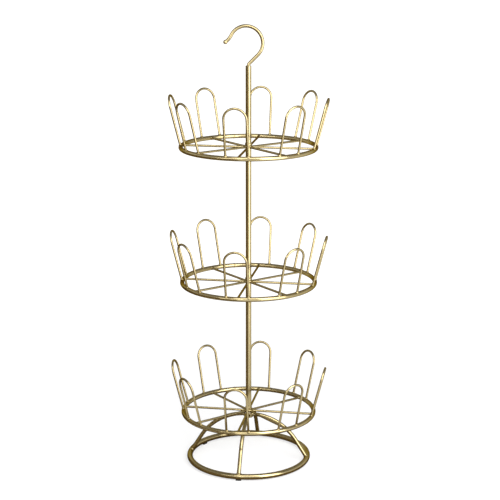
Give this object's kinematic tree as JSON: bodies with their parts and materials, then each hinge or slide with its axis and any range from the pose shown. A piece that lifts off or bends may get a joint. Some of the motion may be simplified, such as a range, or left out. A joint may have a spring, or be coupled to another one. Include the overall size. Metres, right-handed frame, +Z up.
{
  "type": "shoe drying rack",
  "caption": "Round free-standing wire shoe rack in gold lacquer: stacked trays of upright loops on a turning pole, ring base below, hanging hook on top.",
  "frame": {"origin": "on the floor, under the middle of the pole", "axes": "+Z up along the pole; +X along base_leg_1 and loop 1 of each tray; the hook opens towards -X; the picture looks along +Y from about 10 degrees to the right"},
  "size_m": [0.2794, 0.2794, 0.7828],
  "materials": {
    "gold_lacquered_steel": "steel wire and tube under a glossy champagne gold lacquer",
    "zinc_plated_steel": "bright zinc plating on turned and threaded pieces",
    "black_rubber": "matte moulded black rubber",
    "white_nylon": "natural turned nylon"
  },
  "bodies": {
    "base": {"base_ring": "gold_lacquered_steel", "base_hub": "gold_lacquered_steel", "pivot_bush": "white_nylon", "base_leg_1": "gold_lacquered_steel", "base_leg_2": "gold_lacquered_steel", "base_leg_3": "gold_lacquered_steel", "base_leg_4": "gold_lacquered_steel", "foot_pad_1": "black_rubber", "foot_pad_2": "black_rubber", "foot_pad_3": "black_rubber"},
    "tower": {"pivot_spindle": "zinc_plated_steel", "pivot_circlip": "zinc_plated_steel", "bottom_tray_hub": "gold_lacquered_steel", "bottom_tray_ring": "gold_lacquered_steel", "bottom_tray_spokes": "gold_lacquered_steel", "middle_tray_hub": "gold_lacquered_steel", "middle_tray_ring": "gold_lacquered_steel", "middle_tray_spokes": "gold_lacquered_steel", "top_tray_hub": "gold_lacquered_steel", "top_tray_ring": "gold_lacquered_steel", "top_tray_spokes": "gold_lacquered_steel", "bottom_loop_1": "gold_lacquered_steel", "bottom_loop_2": "gold_lacquered_steel", "bottom_loop_3": "gold_lacquered_steel", "bottom_loop_4": "gold_lacquered_steel", "bottom_loop_5": "gold_lacquered_steel", "bottom_loop_6": "gold_lacquered_steel", "bottom_loop_7": "gold_lacquered_steel", "bottom_loop_8": "gold_lacquered_steel", "middle_loop_1": "gold_lacquered_steel", "middle_loop_2": "gold_lacquered_steel", "middle_loop_3": "gold_lacquered_steel", "middle_loop_4": "gold_lacquered_steel", "middle_loop_5": "gold_lacquered_steel", "middle_loop_6": "gold_lacquered_steel", "middle_loop_7": "gold_lacquered_steel", "middle_loop_8": "gold_lacquered_steel", "top_loop_1": "gold_lacquered_steel", "top_loop_2": "gold_lacquered_steel", "top_loop_3": "gold_lacquered_steel", "top_loop_4": "gold_lacquered_steel", "top_loop_5": "gold_lacquered_steel", "top_loop_6": "gold_lacquered_steel", "top_loop_7": "gold_lacquered_steel", "top_loop_8": "gold_lacquered_steel", "lower_pole": "gold_lacquered_steel", "middle_pole": "gold_lacquered_steel", "upper_pole": "gold_lacquered_steel", "lower_pole_bottom_insert": "zinc_plated_steel", "lower_pole_top_insert": "zinc_plated_steel", "middle_pole_bottom_insert": "zinc_plated_steel", "middle_pole_top_insert": "zinc_plated_steel", "upper_pole_bottom_insert": "zinc_plated_steel", "upper_pole_top_insert": "zinc_plated_steel", "bottom_stud": "zinc_plated_steel", "middle_stud": "zinc_plated_steel", "top_stud": "zinc_plated_steel", "hanging_hook": "gold_lacquered_steel"}
  },
  "joints": [
    {"name": "tower_swivel", "type": "hinge", "parent": "base", "child": "tower", "pos_m": [0, 0, 0.0883], "axis": [0, 0, 1], "continuous": true}
  ]
}
